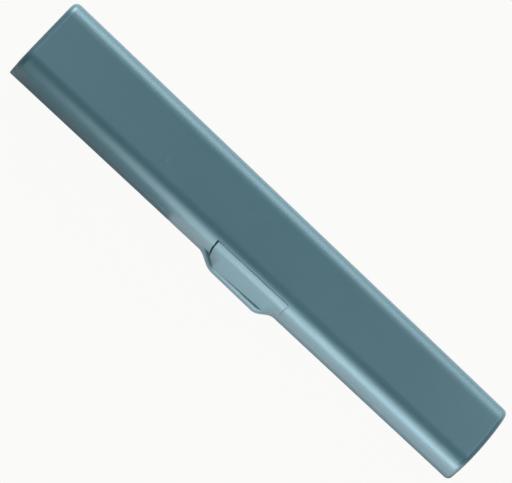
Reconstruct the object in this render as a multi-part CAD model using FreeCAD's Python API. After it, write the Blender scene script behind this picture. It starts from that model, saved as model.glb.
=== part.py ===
import FreeCAD, Part
import math
import os

# A hinged travel case for one slim powered toothbrush, in millimetres.
# X runs along the case, from the wide tail end (-X), which takes the brush's handle,
# to the narrow nose end (+X), which takes its head. The latch is at the front (-Y),
# the hinge at the back (+Y), and +Z is up. The origin is the middle of the underside.

Vector = FreeCAD.Vector

# Outer form of the closed case
case_length = 215.0
tail_width = 32.4
nose_width = 29.6
case_height = 28.5
nose_front_drop = 0.35
nose_back_drop = 1.85
top_front_round = 7.3
top_back_round = 6.0
bottom_round = 5.5
tail_top_round = 2.4
nose_top_round = 2.2
end_low_round = 0.5
least_round = 0.5
wall = 2.0

# Parting line and the tongue on the base that guides the lid shut
seam_drop = 0.25
seam_gap = 0.15
seam_round = 0.2
tongue_height = 1.2
tongue_thickness = 0.9
tongue_depth = 1.3
tongue_gap = 0.25

# Hinge: two stations of three knuckles, each on its own pin
hinge_spacing = 124.0
knuckle_radius = 1.4
knuckle_length = 8.0
knuckle_side_gap = 0.2
knuckle_pocket_gap = 0.2
hinge_pin_radius = 0.65
hinge_running_gap = 0.05

# Thumb lip on the base, in plan: feet where it leaves the wall, crests where it is full
lip_tail_foot = -15.8
lip_tail_crest = -5.45
lip_nose_crest = 13.65
lip_nose_foot = 22.3
lip_tail_blend = 7.0
lip_nose_blend = 4.7
blend_limit = 0.9
lip_reach = 4.2
lip_edge_drop = 4.5
lip_ramp_drop = 8.5
lip_top_round = 2.2

# Latch button, set in a window in the front of the lid
button_tail_x = -10.2
button_length = 32.6
button_top_drop = 1.4
button_tail_lean = 1.4
button_tail_slit = 0.9
button_top_slit = 0.35
button_joint = 0.08
button_joint_round = 0.05
button_floor_gap = 0.3
button_edge_round = 0.3
button_travel = 1.2
flare_tail_start = 2.4
flare_tail_inset = 4.2
flare_nose_inset = 6.3
flare_tail_ledge = 0.9
flare_nose_ledge = 1.85
flare_blend = 2.5
flare_edge = 0.9
flare_chamfer = 0.25
flare_root = 0.02
flare_steps = 5
wing_gap = 0.25
wing_overlap = 1.2
wing_thickness = 1.2
wing_height = 6.2
hook_width = 8.0
hook_drop = 3.2
hook_nose_height = 1.0
hook_bite = 0.5
keeper_gap = 0.3

# Leaf spring behind the button
spring_chord = 16.0
spring_thickness = 0.25
spring_height = 4.0
spring_room = 3.0
spring_play = 0.05
spring_seat_thickness = 1.2

# Trough for the brush, one turned form about the brush's axis
brush_axis_y = 0.2
head_step = 1.8
tail_room = 5.5
nose_room = 6.5
handle_end_x = -30.0
neck_start_x = 20.0
head_length = 35.0
head_taper = 8.0
trough_wall = 1.2
trough_floor_gap = 0.5

# Inserts: the tray in the base and the liner in the lid
deck_recess = 1.6
deck_thickness = 1.4
tray_gap = 0.3
liner_gap = 0.3

# Self-tapping screws that hold the inserts, and their bosses
screw_first_inset = 8.0
screw_second_inset = 6.0
screw_margin = 2.0
screw_head_radius = 1.9
screw_head_height = 1.1
screw_radius = 0.95
screw_length = 6.0
screw_hole_gap = 0.15
screw_slot_length = 2.28
screw_slot_width = 0.5
screw_slot_depth = 0.5
boss_radius = 2.2
boss_gap = 0.7

# Soft pads and the neck clip
pad_thickness = 1.0
pad_length = 12.0
pad_spread_degrees = 110.0
pad_inset = 16.0
clip_thickness = 1.2
clip_length = 8.0
clip_spread_degrees = 190.0
clip_inset = 20.0
pad_seat_gap = 0.03

# Drying vents under the brush head
vent_count = 3
vent_pitch = 8.0
vent_inset = 9.0
vent_width = 2.0
vent_length = 10.0

# Values worked out from the sizes above
tiny = 0.01
back_y = (tail_width + nose_width) / 4
seam_height = case_height / 2 - seam_drop
lid_depth = case_height - seam_height
button_nose_x = button_tail_x + button_length
button_middle_x = button_tail_x + button_length / 2
button_bottom = seam_height + button_floor_gap
button_top = case_height - button_top_drop
wing_top = button_bottom + wing_height
hook_bottom = seam_height - hook_drop
latch_margin = 2 * wing_gap + wing_overlap
wing_start = wall + wing_gap
wing_end = wing_start + wing_thickness
tray_inset = wall + tongue_gap + tongue_thickness + tray_gap
liner_inset = wall + liner_gap
tray_deck_top = seam_height - deck_recess
liner_deck_bottom = seam_height + deck_recess
handle_tail_x = -case_length / 2 + tail_room
head_nose_x = case_length / 2 - nose_room
head_start_x = head_nose_x - head_length
neck_end_x = head_start_x - head_taper
screw_first_x = neck_start_x + screw_first_inset
screw_second_x = neck_end_x - screw_second_inset
pad_tail_x = handle_tail_x + pad_inset
pad_neck_x = handle_end_x - pad_inset
clip_x = neck_start_x + clip_inset
vent_last_x = head_nose_x - vent_inset
knuckle_pitch = knuckle_length + knuckle_side_gap
hinge_pin_length = 3 * knuckle_length + 2 * knuckle_side_gap


def front_y(x):
    """Y of the tapering front face at a place along the case."""
    share = x / case_length + 0.5
    return back_y - tail_width - share * (nose_width - tail_width)


handle_depth = min(seam_height, lid_depth) - wall - trough_floor_gap
handle_room = min(handle_depth, back_y - brush_axis_y - tray_inset)
handle_radius = handle_room - trough_wall
head_room = brush_axis_y - front_y(head_nose_x) - tray_inset
head_radius = min(handle_radius - head_step, head_room - trough_wall)
screw_side_y = brush_axis_y - front_y(screw_second_x) - tray_inset - screw_margin
neck_radius = screw_side_y - boss_radius - boss_gap - trough_wall
lip_outer_y = front_y(0.0) - lip_reach
button_back_y = front_y(button_middle_x) + wing_end
spring_seat_y = button_back_y + spring_room


def span_box(x_range, y_range, z_range):
    """Box between two limits on each axis."""
    sizes = [high - low for low, high in (x_range, y_range, z_range)]
    return Part.makeBox(*sizes, Vector(x_range[0], y_range[0], z_range[0]))


whole_x = (-case_length, case_length)
whole_y = (-2 * tail_width, 2 * tail_width)
whole_z = (-case_height, 2 * case_height)
front_half_y = (whole_y[0], 0.0)


def long_edge(block, y, z):
    """Edge along the case that lies nearest to a corner of its section."""
    corner = Vector(0, y, z)
    edges = [edge for edge in block.Edges if edge.Length > case_length / 2]
    return min(edges, key=lambda edge: edge.CenterOfMass.distanceToPoint(corner))


def end_edges(block, side):
    """Rim of the tail face (side -1) or of the nose face (side 1)."""
    face = max(block.Faces, key=lambda one: side * one.CenterOfMass.x)
    return face.OuterWire.Edges


def round_ends(block, inset):
    """Round the rims of both end faces: full above, easing down the corners to less below."""
    low_round = max(end_low_round - inset, least_round)
    low_z = bottom_round
    high_z = case_height - top_front_round
    rounds = []
    for side, top_round in ((-1, tail_top_round), (1, nose_top_round)):
        gain = max(top_round - inset, least_round) - low_round
        for rim_edge in end_edges(block, side):
            place = [edge.isSame(rim_edge) for edge in block.Edges].index(True)
            edge = block.Edges[place]
            ends = [edge.valueAt(edge.FirstParameter).z, edge.valueAt(edge.LastParameter).z]
            shares = [min(max((z - low_z) / (high_z - low_z), 0.0), 1.0) for z in ends]
            rounds.append((place + 1, low_round + gain * shares[0], low_round + gain * shares[1]))
    document = FreeCAD.newDocument("rounding")
    source = document.addObject("Part::Feature", "block")
    source.Shape = block
    rounded = document.addObject("Part::Fillet", "rounded")
    rounded.Base = source
    rounded.Edges = rounds
    document.recompute()
    shape = rounded.Shape.copy()
    FreeCAD.closeDocument(document.Name)
    return shape


def case_block(inset):
    """Solid of the closed case's outer form, drawn in on every side by an inset."""
    tail_x = -case_length / 2 + inset
    nose_x = case_length / 2 - inset
    front_x = nose_x - nose_front_drop
    back_x = nose_x - nose_back_drop
    back = back_y - inset
    top = case_height - inset
    tail_back = Vector(tail_x, back, inset)
    tail_front = Vector(tail_x, front_y(tail_x) + inset, inset)
    nose_front = Vector(front_x, front_y(front_x) + inset, inset)
    nose_back = Vector(back_x, back, inset)
    tip_share = 1 / (1 + math.sqrt(nose_back_drop / nose_front_drop))
    nose_tip = Vector(nose_x, nose_front.y + tip_share * (back - nose_front.y), inset)
    outline = Part.Wire([
        Part.LineSegment(tail_back, tail_front).toShape(),
        Part.LineSegment(tail_front, nose_front).toShape(),
        Part.Arc(nose_front, nose_tip, nose_back).toShape(),
        Part.LineSegment(nose_back, tail_back).toShape(),
    ])
    block = Part.Face(outline).extrude(Vector(0, 0, top - inset))
    front = front_y(0.0) + inset
    corners = (
        (top_front_round, front, top),
        (top_back_round, back, top),
        (bottom_round, front, inset),
        (bottom_round, back, inset),
    )
    for radius, y, z in corners:
        block = block.makeFillet(max(radius - inset, least_round), [long_edge(block, y, z)])
    return round_ends(block, inset)


def band(outer_inset, inner_inset):
    """Layer of the case's wall between two insets."""
    return case_block(outer_inset).cut(case_block(inner_inset))


def is_level(edge, z):
    """Whether an edge lies in the level plane at a height."""
    return abs(edge.BoundBox.ZMin - z) < tiny and abs(edge.BoundBox.ZMax - z) < tiny


def round_level_edges(solid, z, radius):
    """Round every edge that lies in one level plane."""
    return solid.makeFillet(radius, [edge for edge in solid.Edges if is_level(edge, z)])


def bar(x_start, length, radius, y, z):
    """Round bar along the case."""
    return Part.makeCylinder(radius, length, Vector(x_start, y, z), Vector(1, 0, 0))


def post(x, y, z, radius, height):
    """Upright round post."""
    return Part.makeCylinder(radius, height, Vector(x, y, z))


def lies_outside(edge):
    """Whether an edge lies on the case's outer surface."""
    surface = case_block(0.0).Shells[0]
    return all(surface.distToShape(Part.Vertex(point))[0] < tiny for point in edge.discretize(3))


def follows(edge, side):
    """Whether an edge lies in an upright side, given as X at a height."""
    return all(abs(point.x - side(point.z)) < tiny for point in edge.discretize(3))


def side_edges(solid, side):
    """Outer edges of a solid that lie in one of its upright sides."""
    return [edge for edge in solid.Edges if follows(edge, side) and lies_outside(edge)]


def top_edges(solid, z):
    """Outer edges of a solid that lie in one level plane."""
    return [edge for edge in solid.Edges if is_level(edge, z) and lies_outside(edge)]


def flank(start, end, blend):
    """Straight flank between two points, blended by an arc so that it is level with X at both."""
    run = end.x - start.x
    rise = end.y - start.y
    radius = min(blend, blend_limit * (run * run + rise * rise) / (4 * abs(rise)))
    offset = abs(rise) - 2 * radius
    turn = math.atan2(offset, abs(run)) + math.asin(2 * radius / math.hypot(run, offset))
    half_step, step = [
        Vector(
            math.copysign(radius * math.sin(angle), run),
            math.copysign(radius * (1 - math.cos(angle)), rise),
            0,
        )
        for angle in (turn / 2, turn)
    ]
    return [
        Part.Arc(start, start + half_step, start + step).toShape(),
        Part.LineSegment(start + step, end - step).toShape(),
        Part.Arc(end - step, end - half_step, end).toShape(),
    ]


def tab_outline(feet, crests, blends):
    """Edges of a thumb tab's plan, from its tail foot over both crests to its nose foot."""
    edges = flank(feet[0], crests[0], blends[0])
    edges.append(Part.LineSegment(crests[0], crests[1]).toShape())
    return edges + flank(crests[1], feet[1], blends[1])


def profile_prism(edges):
    """Prism along the whole case from a closed profile drawn in the plane x = 0."""
    face = Part.Face(Part.Wire(edges))
    face.translate(Vector(-case_length, 0, 0))
    return face.extrude(Vector(2 * case_length, 0, 0))


def polygon(points):
    """Closed run of straight edges through (y, z) points."""
    corners = [Vector(0, y, z) for y, z in points]
    return [
        Part.LineSegment(corners[i - 1], corners[i]).toShape()
        for i in range(len(corners))
    ]


def thumb_lip():
    """Lip on the base under the button, ramped below and rounded above."""
    feet = [Vector(x, front_y(x), 0) for x in (lip_tail_foot, lip_nose_foot)]
    crests = [Vector(x, lip_outer_y, 0) for x in (lip_tail_crest, lip_nose_crest)]
    roots = [Vector(foot.x, front_y(0.0) + 2 * wall, 0) for foot in feet]
    edges = tab_outline(feet, crests, (lip_tail_blend, lip_nose_blend))
    for start, end in ((feet[1], roots[1]), (roots[1], roots[0]), (roots[0], feet[0])):
        edges.append(Part.LineSegment(start, end).toShape())
    plan = Part.Face(Part.Wire(edges)).extrude(Vector(0, 0, seam_height))
    rim = [
        edge for edge in plan.Edges
        if edge.BoundBox.ZMin > seam_height - tiny
        and edge.BoundBox.YMin < front_y(0.0) - lip_reach / 3
    ]
    plan = plan.makeFillet(lip_top_round, rim)
    wall_y = front_y(0.0)
    ramp_z = seam_height - lip_ramp_drop
    slope = (lip_ramp_drop - lip_edge_drop) / (lip_outer_y - wall_y)
    outer_y = lip_outer_y - lip_reach
    inner_y = wall_y + 2 * wall
    profile = profile_prism(polygon([
        (inner_y, seam_height),
        (outer_y, seam_height),
        (outer_y, ramp_z + slope * (outer_y - wall_y)),
        (inner_y, ramp_z + slope * (inner_y - wall_y)),
    ]))
    return plan.common(profile)


def hinge_stations():
    """X of the middle of each hinge station, tail first."""
    return (-hinge_spacing / 2, hinge_spacing / 2)


def knuckle_centres(of_lid):
    """X of the middle of each knuckle of the lid or of the base."""
    centres = []
    for station in hinge_stations():
        if of_lid:
            centres.append(station)
        else:
            centres += [station - knuckle_pitch, station + knuckle_pitch]
    return centres


def knuckles(of_lid, radius, side_gap):
    """Bars on the hinge axis at the knuckles of one half."""
    length = knuckle_length + 2 * side_gap
    return [
        bar(x - length / 2, length, radius, back_y, seam_height)
        for x in knuckle_centres(of_lid)
    ]


def hinged(shell, of_lid, bore_radius):
    """Give a half its knuckles, its pin bores and pockets for the other's knuckles."""
    pocket_radius = knuckle_radius + knuckle_pocket_gap
    shell = shell.fuse(knuckles(of_lid, knuckle_radius, 0.0))
    shell = shell.cut(knuckles(not of_lid, pocket_radius, knuckle_side_gap))
    return shell.cut(knuckles(of_lid, bore_radius, knuckle_side_gap))


def screw_places():
    """(x, y) of each insert screw."""
    return [
        (x, brush_axis_y + side * screw_side_y)
        for x in (screw_first_x, screw_second_x)
        for side in (-1, 1)
    ]


def vent_slots(z_range):
    """Round-ended slots across the case under the brush head."""
    height = z_range[1] - z_range[0]
    half = (vent_length - vent_width) / 2
    slots = []
    for i in range(vent_count):
        x = vent_last_x - i * vent_pitch
        y_range = (brush_axis_y - half, brush_axis_y + half)
        x_range = (x - vent_width / 2, x + vent_width / 2)
        ends = [post(x, y, z_range[0], vent_width / 2, height) for y in y_range]
        slots.append(span_box(x_range, y_range, z_range).fuse(ends))
    return slots


def around_button(width, margin):
    """Limits along X of something centred on the button, with a margin at each side."""
    half = width / 2 + margin
    return (button_middle_x - half, button_middle_x + half)


def latch_zone(inner_y, z_range, margin):
    """Space at the front that the button and its wings move in."""
    x_range = (button_tail_x - button_tail_slit - margin, button_nose_x + margin)
    return span_box(x_range, (whole_y[0], inner_y), z_range)


def tail_side(z):
    """X of the button's leaning tail side at a height."""
    return button_tail_x - button_tail_lean * (z - button_bottom) / (button_top - button_bottom)


def slit_side(z):
    """X of the window's tail side at a height, across a slit that narrows upward."""
    share = (z - button_bottom) / (button_top - button_bottom)
    return tail_side(z) - button_tail_slit + share * (button_tail_slit - button_top_slit)


def front_block(side, nose_x, y_range, z_range):
    """Block through the front wall, from a leaning tail side to an upright nose side."""
    bottom, top = z_range
    corners = ((side(bottom), bottom), (nose_x, bottom), (nose_x, top), (side(top), top))
    points = [Vector(x, y_range[0], z) for x, z in corners]
    face = Part.Face(Part.makePolygon(points + points[:1]))
    return face.extrude(Vector(0, y_range[1] - y_range[0], 0))


def base_shell():
    """Lower half: shell, tongue, thumb lip, hook keeper, bosses, vents and knuckles."""
    shell = case_block(0.0).common(span_box(whole_x, whole_y, (whole_z[0], seam_height)))
    shell = round_level_edges(shell, seam_height, seam_round)
    shell = shell.fuse(thumb_lip())
    shell = shell.cut(case_block(wall))
    tongue_inner = wall + tongue_gap + tongue_thickness
    root = band(wall - tiny, tongue_inner).common(
        span_box(whole_x, whole_y, (seam_height - tongue_depth, seam_height)))
    tongue = band(wall + tongue_gap, tongue_inner).common(
        span_box(whole_x, whole_y, (seam_height - tongue_depth, seam_height + tongue_height)))
    rim = root.fuse(tongue)
    rim = rim.cut(latch_zone(0.0, whole_z, latch_margin))
    shell = shell.fuse(rim)
    hook_x = around_button(hook_width, keeper_gap)
    keeper_z = (hook_bottom - keeper_gap, hook_bottom + hook_nose_height + keeper_gap)
    keeper = band(wall - hook_bite - keeper_gap, wall + tiny)
    shell = shell.cut(keeper.common(span_box(hook_x, front_half_y, keeper_z)))
    boss_height = tray_deck_top - deck_thickness - wall
    for x, y in screw_places():
        shell = shell.fuse(post(x, y, wall - tiny, boss_radius, boss_height + tiny))
    for x, y in screw_places():
        shell = shell.cut(post(x, y, tray_deck_top - screw_length, screw_radius, screw_length))
    shell = shell.cut(vent_slots((-tiny, wall + tiny)))
    return hinged(shell, False, hinge_pin_radius)


def lid_shell():
    """Upper half: shell, button window, bosses and knuckles."""
    bottom = seam_height + seam_gap
    shell = case_block(0.0).common(span_box(whole_x, whole_y, (bottom, whole_z[1])))
    shell = shell.cut(case_block(wall))
    window_nose_x = button_nose_x + button_joint
    window_y = (whole_y[0], front_y(button_middle_x) + top_front_round)
    window_top = button_top + button_joint
    shell = shell.cut(front_block(slit_side, window_nose_x, window_y, (seam_height - wall, window_top)))
    edges = side_edges(shell, slit_side) + side_edges(shell, lambda z: window_nose_x)
    shell = shell.makeFillet(button_joint_round, edges + top_edges(shell, window_top))
    shell = round_level_edges(shell, bottom, seam_round)
    boss_bottom = liner_deck_bottom + deck_thickness
    boss_height = case_height - wall - boss_bottom
    for x, y in screw_places():
        shell = shell.fuse(post(x, y, boss_bottom, boss_radius, boss_height + tiny))
    for x, y in screw_places():
        shell = shell.cut(post(x, y, liner_deck_bottom, screw_radius, screw_length))
    return hinged(shell, True, hinge_pin_radius + hinge_running_gap)


def flare_section(point):
    """Section of the button's flare: a slope off the lid's round, the thumb edge and a root in the wall."""
    wall_y = front_y(point.x)
    edge_z = button_bottom + flare_edge
    radius = top_front_round - flare_root
    across = wall_y + top_front_round - point.y
    above = case_height - top_front_round - edge_z
    away = math.hypot(across, above)
    turn = math.atan2(above, across) + math.asin(radius / away)
    length = math.sqrt(away * away - radius * radius)
    corners = (
        (point.y + length * math.cos(turn), edge_z + length * math.sin(turn)),
        (point.y, edge_z),
        (point.y, button_bottom + flare_chamfer),
        (point.y + flare_chamfer, button_bottom),
        (wall_y + wall / 2, button_bottom),
    )
    points = [Vector(point.x, y, z) for y, z in corners]
    return Part.makePolygon(points + points[:1])


def button_flare():
    """Flare of the button, drawn smoothly through sections along its thumb edge."""
    feet_x = (button_tail_x - flare_tail_start, button_nose_x - button_edge_round)
    feet = [Vector(x, front_y(x) + flare_root, 0) for x in feet_x]
    crests = [
        Vector(button_tail_x + flare_tail_inset, lip_outer_y + flare_tail_ledge, 0),
        Vector(button_nose_x - flare_nose_inset, lip_outer_y + flare_nose_ledge, 0),
    ]
    stations = [feet[0]]
    for edge in tab_outline(feet, crests, (flare_blend, flare_blend)):
        stations += edge.discretize(flare_steps)[1:]
    flare = Part.makeLoft([flare_section(point) for point in stations], True)
    flare = flare.common(front_block(tail_side, button_nose_x, front_half_y, (button_bottom, button_top)))
    rim = [
        edge for edge in flare.Edges
        if follows(edge, tail_side)
        and edge.BoundBox.YMin < front_y(button_tail_x)
        and edge.BoundBox.ZMax > button_bottom + flare_chamfer + tiny
    ]
    return flare.makeFillet(button_edge_round, rim)


def latch_button():
    """Push button: face flush with the lid, flared thumb edge, side wings and hook."""
    face_x = (button_tail_x, button_nose_x)
    wing_x = (face_x[0] - button_tail_slit - wing_overlap, face_x[1] + button_joint + wing_overlap)
    hook_x = around_button(hook_width, 0.0)
    face_y = (whole_y[0], front_y(button_middle_x) + top_front_round - button_travel)
    plate = band(0.0, wall).common(front_block(tail_side, button_nose_x, face_y, (button_bottom, button_top)))
    plate = plate.makeFillet(button_edge_round, side_edges(plate, tail_side))
    plate = plate.makeFillet(button_joint_round, side_edges(plate, lambda z: button_nose_x))
    plate = plate.makeFillet(button_joint_round, top_edges(plate, button_top))
    button = plate.fuse(button_flare())
    core = band(wall - tiny, wing_end).common(span_box(face_x, front_half_y, (button_bottom, wing_top)))
    wings = band(wing_start, wing_end).common(span_box(wing_x, front_half_y, (button_bottom, wing_top)))
    leg = band(wing_start, wing_end).common(
        span_box(hook_x, front_half_y, (hook_bottom, button_bottom + wall)))
    nose = band(wall - hook_bite, wing_end).common(
        span_box(hook_x, front_half_y, (hook_bottom, hook_bottom + hook_nose_height)))
    return button.fuse([core, wings, leg, nose])


def latch_spring():
    """Bowed leaf: its ends bear on the liner's seat, its middle on the button."""
    bow_y = button_back_y + spring_play
    seat_y = spring_seat_y - spring_play
    z = (button_bottom + wing_top) / 2 - spring_height / 2
    half = spring_chord / 2
    outer = [Vector(button_middle_x - half, seat_y - spring_thickness, z),
             Vector(button_middle_x, bow_y, z),
             Vector(button_middle_x + half, seat_y - spring_thickness, z)]
    inner = [point + Vector(0, spring_thickness, 0) for point in outer]
    outline = Part.Wire([
        Part.Arc(*outer).toShape(),
        Part.LineSegment(outer[2], inner[2]).toShape(),
        Part.Arc(inner[2], inner[1], inner[0]).toShape(),
        Part.LineSegment(inner[0], outer[0]).toShape(),
    ])
    return Part.Face(outline).extrude(Vector(0, 0, spring_height))


def trough(extra):
    """Turned form of the brush's space, larger all round by an extra thickness."""
    stations = [
        (handle_tail_x - extra, 0.0),
        (handle_tail_x - extra, handle_radius + extra),
        (handle_end_x, handle_radius + extra),
        (neck_start_x, neck_radius + extra),
        (neck_end_x, neck_radius + extra),
        (head_start_x, head_radius + extra),
        (head_nose_x + extra, head_radius + extra),
        (head_nose_x + extra, 0.0),
    ]
    points = [Vector(x, brush_axis_y, seam_height + radius) for x, radius in stations]
    section = Part.Face(Part.makePolygon(points + points[:1]))
    axis = Vector(0, brush_axis_y, seam_height)
    return section.revolve(axis, Vector(1, 0, 0), 360)


def insert(inset, deck_z, trough_z):
    """Moulded insert: a level deck with the brush's trough let into it."""
    envelope = case_block(inset)
    deck = envelope.common(span_box(whole_x, whole_y, deck_z))
    shell = trough(trough_wall).common(span_box(whole_x, whole_y, trough_z)).common(envelope)
    return deck.fuse(shell).cut(trough(0.0))


def base_tray():
    """Insert in the base, notched for the hook, drilled for its screws and vented."""
    deck_z = (tray_deck_top - deck_thickness, tray_deck_top)
    tray = insert(tray_inset, deck_z, (wall, tray_deck_top))
    hook_x = around_button(hook_width, wing_overlap)
    notch_y = (whole_y[0], button_back_y + button_travel + keeper_gap)
    tray = tray.cut(span_box(hook_x, notch_y, (hook_bottom - wall, whole_z[1])))
    for x, y in screw_places():
        tray = tray.cut(post(x, y, deck_z[0], screw_radius + screw_hole_gap, deck_thickness))
    return tray.cut(vent_slots((0.0, seam_height - head_radius / 2)))


def lid_liner():
    """Insert in the lid, with the latch's notch and the seat of its spring."""
    deck_z = (liner_deck_bottom, liner_deck_bottom + deck_thickness)
    liner = insert(liner_inset, deck_z, (liner_deck_bottom, case_height - wall))
    zone_z = (seam_height, wing_top + wall)
    liner = liner.cut(latch_zone(spring_seat_y, zone_z, latch_margin))
    seat_x = around_button(spring_chord, wall)
    seat_y = (spring_seat_y, spring_seat_y + spring_seat_thickness)
    seat = span_box(seat_x, seat_y, (deck_z[0], wing_top))
    liner = liner.fuse(seat.cut(trough(0.0)))
    for x, y in screw_places():
        liner = liner.cut(post(x, y, deck_z[0], screw_radius + screw_hole_gap, deck_thickness))
    return liner


def screw(up):
    """Pan-head screw with a cross slot, its head's seat at the origin, pointing down or up."""
    head = post(0, 0, 0, screw_head_radius, screw_head_height)
    head = head.makeFillet(screw_head_height / 2, [max(head.Edges, key=lambda edge: edge.BoundBox.ZMin)])
    slot_z = (screw_head_height - screw_slot_depth, screw_head_height + tiny)
    reach = (-screw_slot_length / 2, screw_slot_length / 2)
    width = (-screw_slot_width / 2, screw_slot_width / 2)
    head = head.cut([span_box(reach, width, slot_z), span_box(width, reach, slot_z)])
    whole = head.fuse(post(0, 0, -screw_length + tiny, screw_radius, screw_length))
    if up:
        whole = whole.mirror(Vector(0, 0, 0), Vector(0, 0, 1))
    return whole


def screws(z, up):
    """The insert screws of one half, as a group of separate solids."""
    group = []
    for x, y in screw_places():
        one = screw(up)
        one.translate(Vector(x, y, z))
        group.append(one)
    return Part.makeCompound(group)


def saddle(x, length, outer_radius, thickness, spread, up):
    """Curved pad in the trough, centred under the brush or over it."""
    ring = bar(x - length / 2, length, outer_radius, brush_axis_y, seam_height)
    ring = ring.cut(bar(x - length / 2, length, outer_radius - thickness, brush_axis_y, seam_height))
    reach = 2 * outer_radius
    turns = [math.radians(spread / 2 * share) for share in (-1.0, -0.5, 0.0, 0.5, 1.0)]
    sign = 1 if up else -1
    centre = Vector(x - length, brush_axis_y, seam_height)
    points = [centre]
    points += [
        centre + Vector(0, reach * math.sin(turn), sign * reach * math.cos(turn))
        for turn in turns
    ]
    wedge = Part.Face(Part.makePolygon(points + points[:1])).extrude(Vector(2 * length, 0, 0))
    return ring.common(wedge)


def hinge_pin(station):
    """Hinge pin of one station, through its three knuckles."""
    return bar(station - hinge_pin_length / 2, hinge_pin_length, hinge_pin_radius, back_y, seam_height)


def handle_pad(x, up):
    """Soft pad for the handle."""
    return saddle(x, pad_length, handle_radius - pad_seat_gap, pad_thickness, pad_spread_degrees, up)


def neck_clip():
    """Springy saddle that grips the brush's neck."""
    return saddle(clip_x, clip_length, neck_radius - pad_seat_gap, clip_thickness, clip_spread_degrees, False)


def build_parts():
    """Every piece of the case, by name."""
    tail_station, nose_station = hinge_stations()
    return {
        "base_shell": base_shell(),
        "lid_shell": lid_shell(),
        "hinge_pin_tail": hinge_pin(tail_station),
        "hinge_pin_nose": hinge_pin(nose_station),
        "latch_button": latch_button(),
        "latch_spring": latch_spring(),
        "base_tray": base_tray(),
        "lid_liner": lid_liner(),
        "tray_screws": screws(tray_deck_top, False),
        "liner_screws": screws(liner_deck_bottom, True),
        "handle_pad_tail": handle_pad(pad_tail_x, False),
        "handle_pad_neck": handle_pad(pad_neck_x, False),
        "lid_pad_tail": handle_pad(pad_tail_x, True),
        "lid_pad_neck": handle_pad(pad_neck_x, True),
        "neck_clip": neck_clip(),
    }


def main():
    """Build each piece and write it to its own file."""
    os.makedirs("parts", exist_ok=True)
    for name, shape in build_parts().items():
        shape = shape.removeSplitter()
        shape.exportStep(os.path.join("parts", name + ".step"))
        box = shape.BoundBox
        print(f"{name}: solids {len(shape.Solids)}, valid {shape.isValid()}, volume {shape.Volume:.1f}, "
              f"x {box.XMin:.2f}..{box.XMax:.2f}, y {box.YMin:.2f}..{box.YMax:.2f}, "
              f"z {box.ZMin:.2f}..{box.ZMax:.2f}")


main()
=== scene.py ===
"""Looks of a hinged toothbrush travel case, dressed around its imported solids.

Everything is in metres, in the frame of the solids: X along the case, -Y to the latch, +Y to
the hinge and +Z up, with the origin in the middle of the underside.
"""

import bmesh
import bpy
import logging
import math
from dataclasses import dataclass
from enum import Enum
from mathutils import Matrix, Vector


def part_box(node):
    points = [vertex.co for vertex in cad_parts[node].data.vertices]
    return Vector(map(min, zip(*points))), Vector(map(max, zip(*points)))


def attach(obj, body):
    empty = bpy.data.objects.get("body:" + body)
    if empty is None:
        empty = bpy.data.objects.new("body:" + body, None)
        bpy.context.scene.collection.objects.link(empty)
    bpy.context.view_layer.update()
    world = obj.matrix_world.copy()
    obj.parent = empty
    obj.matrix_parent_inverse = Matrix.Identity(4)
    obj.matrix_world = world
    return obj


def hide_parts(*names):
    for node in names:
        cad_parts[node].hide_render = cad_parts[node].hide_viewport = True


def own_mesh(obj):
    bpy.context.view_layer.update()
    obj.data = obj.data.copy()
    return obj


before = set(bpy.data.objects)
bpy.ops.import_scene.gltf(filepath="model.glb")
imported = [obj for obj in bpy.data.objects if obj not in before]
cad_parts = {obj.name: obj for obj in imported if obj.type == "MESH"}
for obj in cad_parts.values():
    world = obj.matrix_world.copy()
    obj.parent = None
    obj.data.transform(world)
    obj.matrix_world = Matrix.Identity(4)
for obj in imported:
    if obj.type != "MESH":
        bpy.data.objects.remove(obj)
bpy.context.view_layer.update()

MM = 0.001
log = logging.getLogger("travel_case")

Colour = tuple[float, float, float]
Triple = tuple[float, float, float]


class Body(Enum):
    """Bodies of the case that move apart from each other."""

    BASE = "base"
    LID = "lid"
    LATCH = "latch"


class Slot(Enum):
    """Material slots that the pieces take their finish from."""

    SHELL = "shell"
    INSERT = "insert"
    STEEL = "steel"
    SPRING = "spring_steel"
    PAD = "pad"
    CLIP = "clip"


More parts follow.
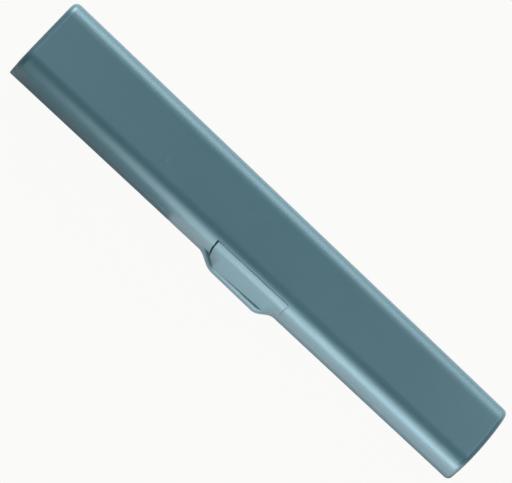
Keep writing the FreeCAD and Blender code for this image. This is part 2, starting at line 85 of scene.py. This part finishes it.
class NodeSheet:
    """A material's node tree, filled one node at a time."""

    usual_low: float = 0.3
    usual_high: float = 0.7

    def __init__(self, name: str) -> None:
        """Start an empty material.

        Args:
            name: Name of the material.
        """
        self.material = bpy.data.materials.new(name)
        self.material.use_nodes = True
        self.tree = self.material.node_tree
        self.tree.nodes.clear()
        self.output = self.add("ShaderNodeOutputMaterial")
        self.place = self.add("ShaderNodeTexCoord").outputs["Object"]

    def add(self, kind: str, **settings: object) -> bpy.types.Node:
        """Add a node and set its properties.

        Args:
            kind: Blender's name of the node's type.
            settings: Properties of the node.

        Returns:
            The new node.
        """
        node = self.tree.nodes.new(kind)
        for name, value in settings.items():
            setattr(node, name, value)
        return node

    def feed(self, socket: bpy.types.NodeSocket, value: object) -> None:
        """Link a socket to an output, or set its constant.

        Args:
            socket: Input to feed.
            value: An output socket, a number or a tuple.
        """
        if isinstance(value, bpy.types.NodeSocket):
            self.tree.links.new(value, socket)
        else:
            socket.default_value = value

    def noise(self, size: float, detail: float, stretch: Triple = (1.0, 1.0, 1.0)) -> bpy.types.NodeSocket:
        """Noise with features of a real size.

        Args:
            size: Size of a feature in metres.
            detail: Octaves of finer detail.
            stretch: How far a feature is drawn out along each axis.

        Returns:
            Output between 0 and 1.
        """
        mapping = self.add("ShaderNodeMapping")
        self.feed(mapping.inputs["Vector"], self.place)
        self.feed(mapping.inputs["Scale"], tuple(1.0 / share for share in stretch))
        node = self.add("ShaderNodeTexNoise")
        self.feed(node.inputs["Vector"], mapping.outputs["Vector"])
        self.feed(node.inputs["Scale"], 1.0 / size)
        self.feed(node.inputs["Detail"], detail)
        return node.outputs["Fac"]

    def spread(self, value: bpy.types.NodeSocket, low: float, high: float) -> bpy.types.NodeSocket:
        """Stretch a noise's usual range over a range of values.

        Args:
            value: Noise to stretch.
            low: Result for the noise's low values.
            high: Result for its high values.

        Returns:
            The stretched output.
        """
        node = self.add("ShaderNodeMapRange")
        self.feed(node.inputs["Value"], value)
        self.feed(node.inputs["From Min"], self.usual_low)
        self.feed(node.inputs["From Max"], self.usual_high)
        self.feed(node.inputs["To Min"], low)
        self.feed(node.inputs["To Max"], high)
        return node.outputs["Result"]

    def blend(self, share: bpy.types.NodeSocket, first: object, second: object) -> bpy.types.NodeSocket:
        """Mix two colours by a share.

        Args:
            share: Share of the second colour.
            first: Colour, or output, at share 0.
            second: Colour, or output, at share 1.

        Returns:
            The mixed colour.
        """
        node = self.add("ShaderNodeMix", data_type="RGBA")
        colours = [socket for socket in node.inputs if socket.type == "RGBA"]
        for socket, colour in zip(colours, (first, second)):
            self.feed(socket, colour if isinstance(colour, bpy.types.NodeSocket) else (*colour, 1.0))
        self.feed(node.inputs["Factor"], share)
        return next(socket for socket in node.outputs if socket.type == "RGBA")

    def spot(self, centre: Vector, inner: float, outer: float) -> bpy.types.NodeSocket:
        """Soft round mask about a point.

        Args:
            centre: Middle of the spot.
            inner: Radius that is wholly covered.
            outer: Radius where the spot ends.

        Returns:
            Output of 1 in the spot and 0 outside.
        """
        distance = self.add("ShaderNodeVectorMath", operation="DISTANCE")
        self.feed(distance.inputs[0], self.place)
        self.feed(distance.inputs[1], tuple(centre))
        node = self.add("ShaderNodeMapRange", interpolation_type="SMOOTHSTEP")
        self.feed(node.inputs["Value"], distance.outputs["Value"])
        self.feed(node.inputs["From Min"], inner)
        self.feed(node.inputs["From Max"], outer)
        self.feed(node.inputs["To Min"], 1.0)
        self.feed(node.inputs["To Max"], 0.0)
        return node.outputs["Result"]

    def relief(self, height: bpy.types.NodeSocket, depth: float,
               under: bpy.types.NodeSocket | None = None) -> bpy.types.NodeSocket:
        """Bump from a height.

        Args:
            height: Height between 0 and 1.
            depth: Depth in metres of a height of 1.
            under: Normal of a coarser relief under it.

        Returns:
            The bent normal.
        """
        node = self.add("ShaderNodeBump")
        self.feed(node.inputs["Height"], height)
        self.feed(node.inputs["Strength"], 1.0)
        self.feed(node.inputs["Distance"], depth)
        if under is not None:
            self.feed(node.inputs["Normal"], under)
        return node.outputs["Normal"]

    def surface(self, **inputs: object) -> bpy.types.Material:
        """Close the sheet with a principled surface.

        Args:
            inputs: The surface's inputs, with _ for a space in their names.

        Returns:
            The finished material.
        """
        shader = self.add("ShaderNodeBsdfPrincipled")
        for name, value in inputs.items():
            self.feed(shader.inputs[name.replace("_", " ")], value)
        self.feed(self.output.inputs["Surface"], shader.outputs["BSDF"])
        return self.material


@dataclass(frozen=True)
class SatinShell:
    """Satin blue-green lacquer of the outer shells and the button."""

    deep: Colour = (0.0815, 0.205, 0.256)
    pale: Colour = (0.093, 0.226, 0.279)
    cloud: float = 26 * MM
    cloud_stretch: Triple = (2.0, 1.0, 1.0)
    speckle: float = 0.6 * MM
    speckle_share: float = 0.25
    patch: float = 2.4 * MM
    patch_stretch: Triple = (3.0, 1.0, 1.0)
    smooth: float = 0.36
    rough: float = 0.42
    metal: float = 0.25
    coat: float = 1.0
    coat_rough: float = 0.42
    grain: float = 0.35 * MM
    grain_depth: float = 0.002 * MM
    sink: float = 34 * MM
    sink_stretch: Triple = (2.0, 1.0, 1.0)
    sink_depth: float = 0.02 * MM
    # Painted highlight: a small pale spot on the lid's top stands in for the glint of a small lamp.
    painted_glint_place: Triple = (-44.6 * MM, -4.3 * MM, 28.5 * MM)
    painted_glint_core: float = 0.18 * MM
    painted_glint_radius: float = 0.9 * MM
    painted_glint_colour: Colour = (0.16, 0.26, 0.31)

    def material(self) -> bpy.types.Material:
        """Make the lacquer: soft clouds of tone, fine grain, slow sinks and one small painted highlight, a
        pale spot on the lid's top.

        Returns:
            The finished material.
        """
        sheet = NodeSheet("satin_shell")
        clouds = sheet.noise(self.cloud, detail=3.0, stretch=self.cloud_stretch)
        tone = sheet.blend(sheet.spread(clouds, 0.0, 1.0), self.deep, self.pale)
        specks = sheet.noise(self.speckle, detail=2.0)
        tone = sheet.blend(sheet.spread(specks, 0.0, self.speckle_share), tone, self.pale)
        # Painted highlight: a paler colour mixed into a small spot on the lid's top, in place of a lamp's
        # glint.
        painted_glint = sheet.spot(Vector(self.painted_glint_place), self.painted_glint_core, self.painted_glint_radius)
        tone = sheet.blend(painted_glint, tone, self.painted_glint_colour)
        patches = sheet.noise(self.patch, detail=4.0, stretch=self.patch_stretch)
        gloss = sheet.spread(patches, self.smooth, self.rough)
        sinks = sheet.noise(self.sink, detail=1.0, stretch=self.sink_stretch)
        grain = sheet.noise(self.grain, detail=2.0)
        normal = sheet.relief(grain, self.grain_depth, sheet.relief(sinks, self.sink_depth))
        return sheet.surface(Base_Color=tone, Roughness=gloss, Normal=normal, Metallic=self.metal,
                             Coat_Weight=self.coat, Coat_Roughness=self.coat_rough)


@dataclass(frozen=True)
class GrainedInsert:
    """Pale moulded plastic of the inserts, with a fine spark-eroded grain."""

    name: str
    deep: Colour
    pale: Colour
    flow: float = 18 * MM
    flow_stretch: Triple = (3.0, 1.0, 1.0)
    grain: float = 0.45 * MM
    grain_depth: float = 0.03 * MM
    smooth: float = 0.5
    rough: float = 0.62

    def material(self) -> bpy.types.Material:
        """Make the moulded plastic: even tone, matt grain and faint flow clouds.

        Returns:
            The finished material.
        """
        sheet = NodeSheet(self.name)
        flow = sheet.noise(self.flow, detail=3.0, stretch=self.flow_stretch)
        tone = sheet.blend(sheet.spread(flow, 0.0, 1.0), self.deep, self.pale)
        grain = sheet.noise(self.grain, detail=3.0)
        gloss = sheet.spread(grain, self.smooth, self.rough)
        normal = sheet.relief(grain, self.grain_depth)
        return sheet.surface(Base_Color=tone, Roughness=gloss, Normal=normal)


@dataclass(frozen=True)
class DrawnSteel:
    """Bright steel with fine lines along one axis."""

    name: str
    deep: Colour
    pale: Colour
    line: float = 0.12 * MM
    line_stretch: Triple = (30.0, 1.0, 1.0)
    line_depth: float = 0.004 * MM
    smooth: float = 0.22
    rough: float = 0.4

    def material(self) -> bpy.types.Material:
        """Make the steel: tone and gloss follow fine lines along the draw.

        Returns:
            The finished material.
        """
        sheet = NodeSheet(self.name)
        draw = sheet.noise(self.line, detail=2.0, stretch=self.line_stretch)
        tone = sheet.blend(sheet.spread(draw, 0.0, 1.0), self.deep, self.pale)
        gloss = sheet.spread(draw, self.smooth, self.rough)
        normal = sheet.relief(draw, self.line_depth)
        return sheet.surface(Base_Color=tone, Roughness=gloss, Normal=normal, Metallic=1.0)


@dataclass(frozen=True)
class SoftSilicone:
    """Matt silicone of the pads."""

    deep: Colour = (0.155, 0.225, 0.255)
    pale: Colour = (0.195, 0.270, 0.305)
    dust: float = 2.5 * MM
    skin: float = 0.25 * MM
    skin_depth: float = 0.01 * MM
    smooth: float = 0.55
    rough: float = 0.7
    sheen: float = 0.15

    def material(self) -> bpy.types.Material:
        """Make the silicone: dusty tone, matt, with a fine skin.

        Returns:
            The finished material.
        """
        sheet = NodeSheet("soft_silicone")
        dust = sheet.noise(self.dust, detail=4.0)
        tone = sheet.blend(sheet.spread(dust, 0.0, 1.0), self.deep, self.pale)
        skin = sheet.noise(self.skin, detail=2.0)
        gloss = sheet.spread(skin, self.smooth, self.rough)
        normal = sheet.relief(skin, self.skin_depth)
        return sheet.surface(Base_Color=tone, Roughness=gloss, Normal=normal, Sheen_Weight=self.sheen)


class FinishBook:
    """One material for each slot, made once and shared by the pieces."""

    def __init__(self) -> None:
        """Make every finish."""
        self.materials = {
            Slot.SHELL: SatinShell().material(),
            Slot.INSERT: GrainedInsert("grained_insert", (0.57, 0.61, 0.62), (0.65, 0.69, 0.70)).material(),
            Slot.CLIP: GrainedInsert("satin_clip", (0.31, 0.39, 0.43), (0.36, 0.44, 0.48)).material(),
            Slot.STEEL: DrawnSteel("drawn_steel", (0.52, 0.52, 0.52), (0.68, 0.68, 0.67)).material(),
            Slot.SPRING: DrawnSteel("spring_steel", (0.42, 0.43, 0.45), (0.55, 0.56, 0.58)).material(),
            Slot.PAD: SoftSilicone().material(),
        }

    def dress(self, piece: bpy.types.Object, slot: Slot) -> None:
        """Give a piece the material of a slot.

        Args:
            piece: Solid or new piece.
            slot: Slot that it takes its finish from.
        """
        piece.data.materials.clear()
        piece.data.materials.append(self.materials[slot])
        log.info("%s: %s finish", piece.name, slot.value)

    def dress_nodes(self, slot: Slot, *nodes: str) -> None:
        """Give several solids the material of a slot.

        Args:
            slot: Slot that they take their finish from.
            nodes: Names of the solids.
        """
        for node in nodes:
            self.dress(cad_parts[node], slot)


@dataclass
class CaseHalf:
    """One half of the case: its shell, its insert and the screws that hold the insert."""

    shell: str
    insert: str
    screws: str

    def dress(self, finishes: FinishBook) -> None:
        """Finish the half's solids.

        Args:
            finishes: Materials by slot.
        """
        finishes.dress_nodes(Slot.SHELL, self.shell)
        finishes.dress_nodes(Slot.INSERT, self.insert)
        finishes.dress_nodes(Slot.STEEL, self.screws)


@dataclass
class Latch:
    """Push button in the lid and the leaf spring behind it."""

    button: str = "latch_button"
    spring: str = "latch_spring"
    joint: str = "latch_press"
    travel: float = 1.2 * MM
    play: float = 0.05 * MM
    weld: float = 0.001 * MM
    crease: float = math.radians(30.0)

    def build(self) -> bpy.types.Object:
        """Copy the leaf spring as one welded mesh.

        Returns:
            The leaf, in place of its solid.
        """
        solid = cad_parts[self.spring]
        shape = bmesh.new()
        shape.from_mesh(solid.data)
        shape.transform(solid.matrix_world)
        bmesh.ops.remove_doubles(shape, verts=shape.verts[:], dist=self.weld)
        mesh = bpy.data.meshes.new(self.spring + "_leaf")
        shape.to_mesh(mesh)
        shape.free()
        mesh.shade_smooth()
        mesh.set_sharp_from_angle(angle=self.crease)
        leaf = bpy.data.objects.new(self.spring + "_leaf", mesh)
        bpy.context.scene.collection.objects.link(leaf)
        log.info("%s: leaf of %d faces", leaf.name, len(mesh.polygons))
        return leaf

    def dress(self, leaf: bpy.types.Object, finishes: FinishBook) -> None:
        """Finish the button, and seat the leaf on the lid in place of its solid.

        Args:
            leaf: The built leaf spring.
            finishes: Materials by slot.
        """
        finishes.dress_nodes(Slot.SHELL, self.button)
        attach(leaf, Body.LID.value)
        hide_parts(self.spring)
        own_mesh(leaf)
        finishes.dress(leaf, Slot.SPRING)


@dataclass
class Hinge:
    """Two steel pins through the knuckles at the back."""

    pins: tuple[str, str] = ("hinge_pin_tail", "hinge_pin_nose")

    def dress(self, finishes: FinishBook) -> None:
        """Finish the pins.

        Args:
            finishes: Materials by slot.
        """
        finishes.dress_nodes(Slot.STEEL, *self.pins)


@dataclass
class RibbedPad:
    """Moulded silicone saddle with ribs round the handle, in place of a plain soft solid."""

    node: str
    body: Body
    over_handle: bool
    spread: float = math.radians(110.0)
    thickness: float = 1.0 * MM
    rib_count: int = 6
    rib_height: float = 0.45 * MM
    points_per_rib: int = 10
    turn_steps: int = 40
    rim_round: float = 0.12 * MM

    def profile(self, low: Vector, high: Vector, outer: float) -> list[Vector]:
        """Section along the handle: flat against the trough, ribbed towards the handle.

        Args:
            low: Lowest corner of the plain solid.
            high: Highest corner of the plain solid.
            outer: Radius of the face against the trough.

        Returns:
            Points (x, radius) as vectors, in order round the section.
        """
        ridge = outer - self.thickness
        points = [Vector((high.x, outer, 0.0)), Vector((low.x, outer, 0.0))]
        count = self.rib_count * self.points_per_rib
        for i in range(count + 1):
            along = i / count
            wave = 0.5 - 0.5 * math.cos(2 * math.pi * self.rib_count * along)
            radius = ridge + self.rib_height * (1.0 - math.sqrt(wave))
            points.append(Vector((low.x + along * (high.x - low.x), radius, 0.0)))
        return points

    def build(self) -> bpy.types.Object:
        """Spin the ribbed section round the handle's axis.

        Returns:
            The pad, in place of its plain solid.
        """
        low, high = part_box(self.node)
        outer = (high.y - low.y) / (2 * math.sin(self.spread / 2))
        side = 1.0 if self.over_handle else -1.0
        axis_y = (low.y + high.y) / 2
        axis_z = high.z - outer if self.over_handle else low.z + outer
        shape = bmesh.new()
        corners = [
            shape.verts.new((point.x, axis_y, axis_z + side * point.y))
            for point in self.profile(low, high, outer)
        ]
        loop = [shape.edges.new((corners[i - 1], corners[i])) for i in range(len(corners))]
        centre = Vector((0.0, axis_y, axis_z))
        start = Matrix.Rotation(-self.spread / 2, 3, "X")
        bmesh.ops.rotate(shape, cent=centre, matrix=start, verts=corners)
        bmesh.ops.spin(shape, geom=corners + loop, cent=centre, axis=Vector((1.0, 0.0, 0.0)),
                       angle=self.spread, steps=self.turn_steps)
        rim = [edge for edge in shape.edges if edge.is_boundary]
        bmesh.ops.edgeloop_fill(shape, edges=rim)
        bmesh.ops.recalc_face_normals(shape, faces=shape.faces[:])
        bmesh.ops.bevel(shape, geom=rim, offset=self.rim_round, offset_type="OFFSET", affect="EDGES",
                        segments=2, profile=0.5, material=-1, clamp_overlap=True)
        open_edges = sum(1 for edge in shape.edges if len(edge.link_faces) != 2)
        log.info("%s: ribbed pad of %d faces, %d open edges", self.node, len(shape.faces), open_edges)
        mesh = bpy.data.meshes.new(self.node + "_ribbed")
        shape.to_mesh(mesh)
        shape.free()
        for face in mesh.polygons:
            face.use_smooth = len(face.vertices) == 4
        pad = bpy.data.objects.new(self.node + "_ribbed", mesh)
        bpy.context.scene.collection.objects.link(pad)
        return pad

    def dress(self, pad: bpy.types.Object, finishes: FinishBook) -> None:
        """Seat the pad on its body and finish it.

        Args:
            pad: The built pad.
            finishes: Materials by slot.
        """
        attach(pad, self.body.value)
        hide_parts(self.node)
        finishes.dress(pad, Slot.PAD)


@dataclass(frozen=True)
class Softbox:
    """Soft rectangular lamp, or a glowing card on the floor, that the camera does not see."""

    name: str
    place: Triple
    target: Triple
    size: tuple[float, float]
    radiance: float

    def build(self) -> None:
        """Hang the lamp, as bright as a face of its radiance, where 1 is white."""
        lamp = bpy.data.lights.new(self.name, "AREA")
        lamp.shape = "RECTANGLE"
        lamp.size, lamp.size_y = self.size
        lamp.energy = self.radiance * math.pi * self.size[0] * self.size[1]
        holder = bpy.data.objects.new(self.name, lamp)
        holder.location = self.place
        facing = Vector(self.target) - Vector(self.place)
        holder.rotation_euler = facing.to_track_quat("-Z", "Y").to_euler()
        holder.visible_camera = False
        bpy.context.scene.collection.objects.link(holder)
        log.info("%s: lamp of %.2f W", self.name, lamp.energy)


@dataclass
class Studio:
    """Floor, lamps and camera round the case."""

    softboxes: tuple[Softbox, ...] = (
        Softbox("back_softbox", (0.0, 0.65, 0.30), (0.0, 0.0, 0.02), (1.6, 0.55), 2.1),
        Softbox("back_tail_softbox", (-0.5, 0.65, 0.30), (-0.1, 0.0, 0.02), (0.6, 0.55), 4.5),
        Softbox("high_tail_softbox", (-0.30, 0.12, 0.40), (-0.30, 0.0, 0.03), (0.40, 0.25), 0.75),
        Softbox("high_nose_softbox", (0.30, 0.12, 0.40), (0.30, 0.0, 0.03), (0.40, 0.25), 1.15),
        Softbox("back_card", (0.0, 0.068, 0.002), (0.0, 0.068, 1.0), (1.0, 0.10), 0.6),
        Softbox("front_softbox", (0.035, -0.32, 0.1525), (0.035, 0.0, 0.1525), (0.13, 0.295), 4.5),
        Softbox("front_nose_softbox", (0.235, -0.32, 0.0625), (0.235, 0.0, 0.0625), (0.27, 0.115), 5.2),
        Softbox("front_card", (0.17, -0.195, 0.002), (0.17, -0.195, 1.0), (0.40, 0.21), 4.3),
        Softbox("near_card", (0.17, -0.06, 0.002), (0.17, -0.06, 1.0), (0.40, 0.06), 0.9),
        Softbox("edge_card", (0.17, -0.02325, 0.002), (0.17, -0.02325, 1.0), (0.40, 0.0135), 0.35),
    )
    floor_half: float = 6.0
    floor_colour: Colour = (0.30, 0.298, 0.295)
    white: Colour = (1.0, 0.995, 0.988)
    camera_share: float = 0.95
    mirror_share: float = 0.05
    fill: float = 0.03
    tilt: float = math.radians(10.0)
    photo_along: tuple[float, float] = (0.7233, -0.6905)
    view_width: float = 183.67 * MM
    camera_distance: float = 6.0
    sensor: float = 36.0
    shift_right: float = -0.298 * MM
    shift_up: float = 2.218 * MM

    def whitening(self, tree: bpy.types.NodeTree) -> bpy.types.NodeSocket:
        """Share of plain white that each kind of ray sees.

        Args:
            tree: Node tree of the floor or the world.

        Returns:
            The share, by the kind of ray.
        """
        path = tree.nodes.new("ShaderNodeLightPath")
        mirrored = tree.nodes.new("ShaderNodeMath")
        mirrored.operation = "MAXIMUM"
        tree.links.new(path.outputs["Is Glossy Ray"], mirrored.inputs[0])
        tree.links.new(path.outputs["Is Transmission Ray"], mirrored.inputs[1])
        dimmed = tree.nodes.new("ShaderNodeMath")
        dimmed.operation = "MULTIPLY"
        tree.links.new(mirrored.outputs["Value"], dimmed.inputs[0])
        dimmed.inputs[1].default_value = self.mirror_share
        seen = tree.nodes.new("ShaderNodeMath")
        seen.operation = "MULTIPLY"
        tree.links.new(path.outputs["Is Camera Ray"], seen.inputs[0])
        seen.inputs[1].default_value = self.camera_share
        share = tree.nodes.new("ShaderNodeMath")
        share.operation = "MAXIMUM"
        tree.links.new(dimmed.outputs["Value"], share.inputs[0])
        tree.links.new(seen.outputs["Value"], share.inputs[1])
        return share.outputs["Value"]

    def build_floor(self) -> None:
        """Lay a white floor that keeps a faint shadow."""
        shape = bmesh.new()
        bmesh.ops.create_grid(shape, x_segments=1, y_segments=1, size=self.floor_half)
        mesh = bpy.data.meshes.new("floor")
        shape.to_mesh(mesh)
        shape.free()
        floor = bpy.data.objects.new("floor", mesh)
        bpy.context.scene.collection.objects.link(floor)
        sheet = NodeSheet("white_floor")
        matt = sheet.add("ShaderNodeBsdfDiffuse")
        sheet.feed(matt.inputs["Color"], (*self.floor_colour, 1.0))
        glow = sheet.add("ShaderNodeEmission")
        sheet.feed(glow.inputs["Color"], (*self.white, 1.0))
        mix = sheet.add("ShaderNodeMixShader")
        sheet.feed(mix.inputs["Fac"], self.whitening(sheet.tree))
        sheet.feed(mix.inputs[1], matt.outputs["BSDF"])
        sheet.feed(mix.inputs[2], glow.outputs["Emission"])
        sheet.feed(sheet.output.inputs["Surface"], mix.outputs["Shader"])
        mesh.materials.append(sheet.material)

    def build_world(self) -> None:
        """Surround the case with a dim fill that the camera sees as white."""
        world = bpy.data.worlds.new("studio")
        world.use_nodes = True
        bpy.context.scene.world = world
        tree = world.node_tree
        tree.nodes.clear()
        dim = tree.nodes.new("ShaderNodeBackground")
        dim.inputs["Color"].default_value = (1.0, 1.0, 1.0, 1.0)
        dim.inputs["Strength"].default_value = self.fill
        bright = tree.nodes.new("ShaderNodeBackground")
        bright.inputs["Color"].default_value = (*self.white, 1.0)
        mix = tree.nodes.new("ShaderNodeMixShader")
        output = tree.nodes.new("ShaderNodeOutputWorld")
        tree.links.new(self.whitening(tree), mix.inputs["Fac"])
        tree.links.new(dim.outputs["Background"], mix.inputs[1])
        tree.links.new(bright.outputs["Background"], mix.inputs[2])
        tree.links.new(mix.outputs["Shader"], output.inputs["Surface"])

    def build_lamps(self) -> None:
        """Hang the lamps."""
        for softbox in self.softboxes:
            softbox.build()

    def build_camera(self) -> None:
        """Set the camera at the photograph's view: long, tilted to the front and turned."""
        along = Vector((1.0, 0.0, 0.0))
        back = Vector((0.0, -math.sin(self.tilt), math.cos(self.tilt)))
        across = back.cross(along)
        right = self.photo_along[0] * along - self.photo_along[1] * across
        up = self.photo_along[1] * along + self.photo_along[0] * across
        turn = Matrix((right, up, back)).transposed()
        camera = bpy.data.cameras.new("photo_camera")
        camera.sensor_width = self.sensor
        camera.lens = self.sensor * self.camera_distance / self.view_width
        holder = bpy.data.objects.new("photo_camera", camera)
        target = right * self.shift_right + up * self.shift_up
        holder.matrix_world = Matrix.Translation(target + back * self.camera_distance) @ turn.to_4x4()
        bpy.context.scene.collection.objects.link(holder)
        bpy.context.scene.camera = holder

    def build(self) -> None:
        """Set up the whole studio."""
        bpy.context.scene.view_settings.view_transform = "Standard"
        self.build_floor()
        self.build_world()
        self.build_lamps()
        self.build_camera()


def main() -> None:
    """Dress the case piece by piece and set up the studio."""
    logging.basicConfig(level=logging.INFO, format="%(name)s %(message)s")
    finishes = FinishBook()
    CaseHalf("base_shell", "base_tray", "tray_screws").dress(finishes)
    CaseHalf("lid_shell", "lid_liner", "liner_screws").dress(finishes)
    latch = Latch()
    latch.dress(latch.build(), finishes)
    Hinge().dress(finishes)
    finishes.dress_nodes(Slot.CLIP, "neck_clip")
    for place in ("tail", "neck"):
        for node, body, over in (("handle_pad_", Body.BASE, False), ("lid_pad_", Body.LID, True)):
            ribbed = RibbedPad(node + place, body, over)
            ribbed.dress(ribbed.build(), finishes)
    Studio().build()


if __name__ == "__main__":
    main()
